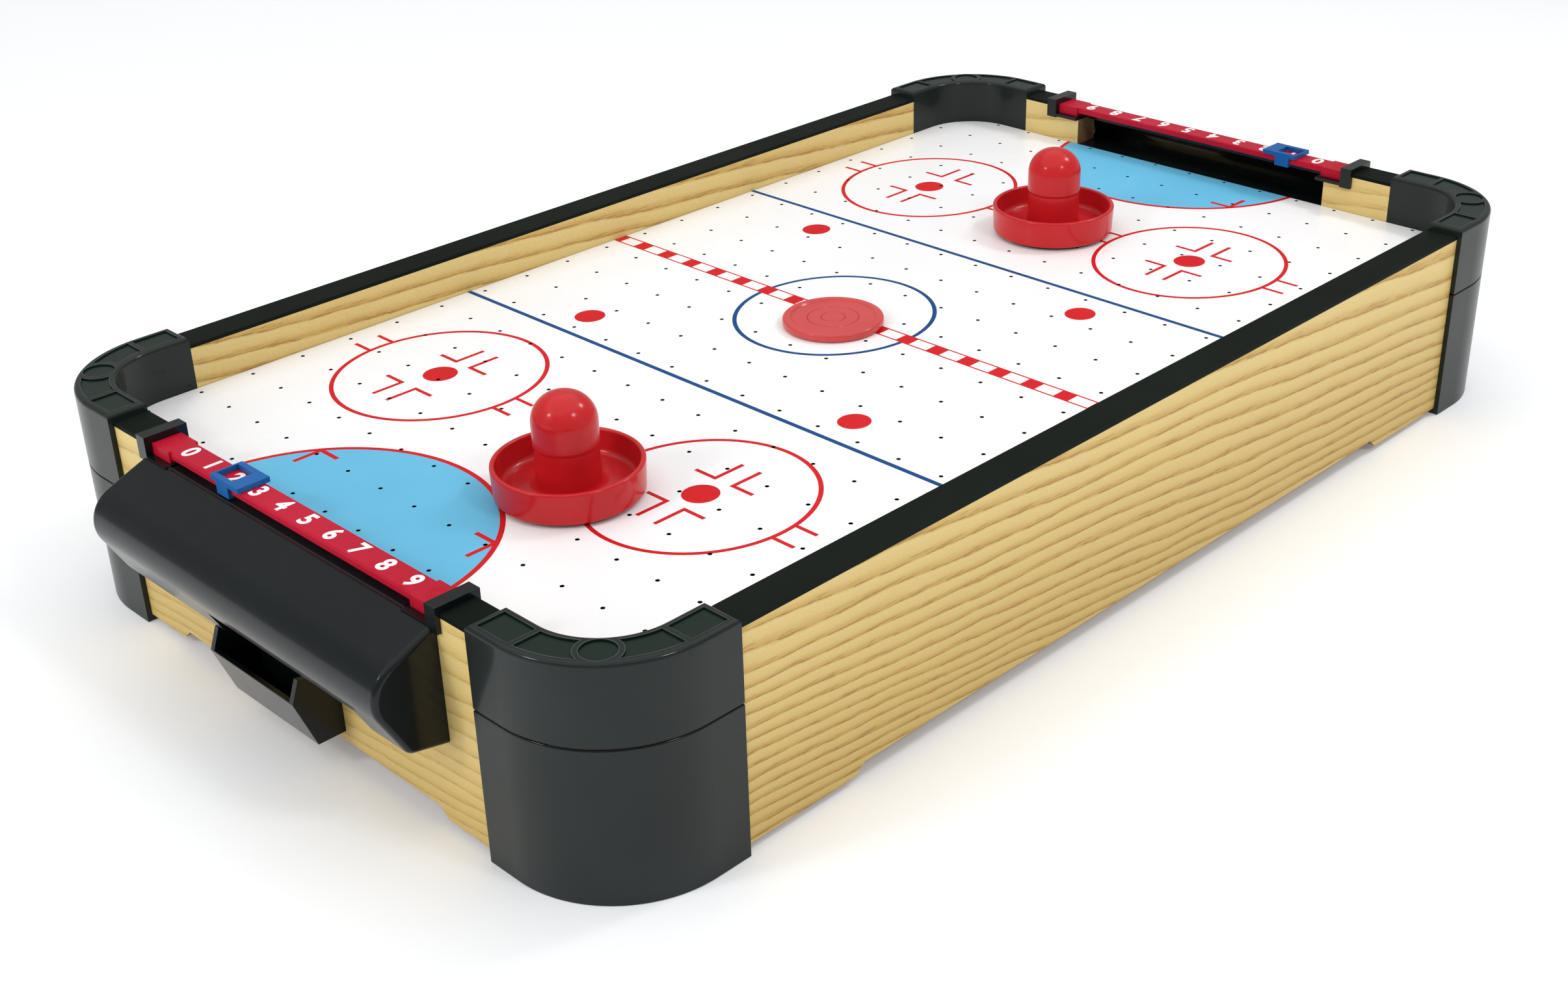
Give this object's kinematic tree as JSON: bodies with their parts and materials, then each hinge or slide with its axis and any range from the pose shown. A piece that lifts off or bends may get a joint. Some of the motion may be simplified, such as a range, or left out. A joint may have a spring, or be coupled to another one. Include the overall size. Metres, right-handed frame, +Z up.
{
  "type": "tabletop air hockey table",
  "caption": "Tabletop air hockey table with wood-grain walls, black corner posts and goal hoods, sliding score markers, strikers, puck and a battery blower.",
  "frame": {"origin": "on the floor under the middle of the table", "axes": "+X along the table from the near goal to the far goal, +Y towards the far long side, +Z up"},
  "size_m": [0.5554, 0.309, 0.0987],
  "materials": {
    "wood_panel": "pale ash grain laminate",
    "black_strip": "satin black edge strip",
    "fibreboard": "raw brown fibreboard",
    "white_board": "smooth white laminate with printed rink lines",
    "corner_plastic": "satin black moulded plastic",
    "hood_plastic": "semi-gloss black moulded plastic",
    "bar_red": "crimson moulded plastic with white digits",
    "slider_blue": "blue moulded plastic",
    "striker_red": "glossy red moulded plastic",
    "felt": "black felt",
    "puck_red": "light red moulded plastic",
    "fan_grey": "grey moulded plastic",
    "steel": "plated steel",
    "cell_wrap": "printed cell wrap",
    "rocker_red": "red rocker",
    "wire_skin": "wire insulation"
  },
  "bodies": {
    "table": {"bar_bracket_far_left": "hood_plastic", "bar_bracket_far_right": "hood_plastic", "bar_bracket_near_left": "hood_plastic", "bar_bracket_near_right": "hood_plastic", "battery_case": "hood_plastic", "battery_cells": "cell_wrap", "battery_contacts": "steel", "board_ledger_back": "fibreboard", "board_ledger_far": "fibreboard", "board_ledger_front": "fibreboard", "board_ledger_near": "fibreboard", "bottom_panel": "fibreboard", "corner_lower_far_left": "corner_plastic", "corner_lower_far_right": "corner_plastic", "corner_lower_near_left": "corner_plastic", "corner_lower_near_right": "corner_plastic", "corner_upper_far_left": "corner_plastic", "corner_upper_far_right": "corner_plastic", "corner_upper_near_left": "corner_plastic", "corner_upper_near_right": "corner_plastic", "end_wall_far": "wood_panel", "end_wall_near": "wood_panel", "fan_motor": "steel", "fan_ring": "fan_grey", "fan_wires": "wire_skin", "goal_hood_far": "hood_plastic", "goal_hood_near": "hood_plastic", "goal_sill_far": "hood_plastic", "goal_sill_near": "hood_plastic", "hood_screws": "steel", "intake_grille": "hood_plastic", "motor_bracket": "fan_grey", "panel_cleats": "fibreboard", "panel_screws": "steel", "playfield_board": "white_board", "puck_pocket_far": "hood_plastic", "puck_pocket_near": "hood_plastic", "rail_strip_back": "black_strip", "rail_strip_far_left": "black_strip", "rail_strip_far_right": "black_strip", "rail_strip_front": "black_strip", "rail_strip_near_left": "black_strip", "rail_strip_near_right": "black_strip", "score_bar_far": "bar_red", "score_bar_near": "bar_red", "side_wall_back": "wood_panel", "side_wall_front": "wood_panel", "switch_bezel": "hood_plastic"},
    "near_score_slider": {"score_slider_near": "slider_blue"},
    "far_score_slider": {"score_slider_far": "slider_blue"},
    "near_striker": {"striker_near": "striker_red", "striker_felt_near": "felt"},
    "far_striker": {"striker_far": "striker_red", "striker_felt_far": "felt"},
    "puck": {"puck": "puck_red"},
    "fan_rotor": {"fan_impeller": "fan_grey", "motor_shaft": "steel"},
    "power_rocker": {"switch_rocker": "rocker_red"},
    "battery_lid": {"battery_door": "hood_plastic"}
  },
  "joints": [
    {"name": "near_score_slide", "type": "slide", "parent": "table", "child": "near_score_slider", "axis": [0, 1, 0], "range_m": [-0.09695, 0.0277]},
    {"name": "far_score_slide", "type": "slide", "parent": "table", "child": "far_score_slider", "axis": [0, 1, 0], "range_m": [-0.01385, 0.1108]},
    {"name": "near_striker_slide", "type": "slide", "parent": "table", "child": "near_striker", "axis": [1, 0, 0], "range_m": [-0.053, 0.111]},
    {"name": "far_striker_slide", "type": "slide", "parent": "table", "child": "far_striker", "axis": [1, 0, 0], "range_m": [-0.0859, 0.0766]},
    {"name": "puck_slide", "type": "slide", "parent": "table", "child": "puck", "axis": [0, 1, 0], "range_m": [-0.1222, 0.1158]},
    {"name": "fan_spin", "type": "hinge", "parent": "table", "child": "fan_rotor", "pos_m": [0, 0, 0.0185], "axis": [0, 0, 1], "continuous": true},
    {"name": "power_rock", "type": "hinge", "parent": "table", "child": "power_rocker", "pos_m": [0.12, 0.1505, 0.034], "axis": [0, 0, 1], "range_deg": [0, 16]},
    {"name": "battery_lid_slide", "type": "slide", "parent": "table", "child": "battery_lid", "axis": [1, 0, 0], "range_m": [0, 0.04]}
  ]
}
